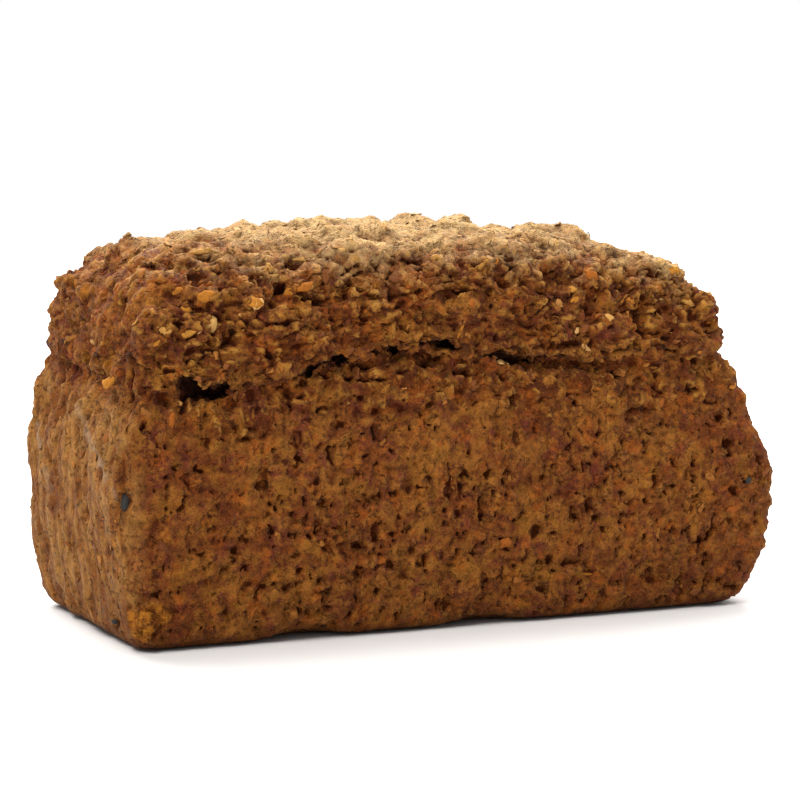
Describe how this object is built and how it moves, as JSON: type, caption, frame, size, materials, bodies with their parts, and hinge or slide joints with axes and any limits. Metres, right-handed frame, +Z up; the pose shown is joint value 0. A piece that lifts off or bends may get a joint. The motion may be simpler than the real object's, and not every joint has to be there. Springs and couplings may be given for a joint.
{
  "type": "spelt loaf",
  "caption": "Small rectangular tin-baked wholegrain spelt loaf, one solid with a flat base, pitted sides, a torn crack and a craggy crown crusted with spelt flakes.",
  "frame": {"origin": "middle of the flat base, under the middle of the loaf's bounding box", "axes": "+X along the loaf's length, -Y towards the long side that shows in the picture, +Z up"},
  "size_m": [0.1984, 0.095, 0.1134],
  "materials": {
    "crust": null
  },
  "bodies": {
    "root": {"spelt_loaf": "crust"}
  },
  "joints": []
}
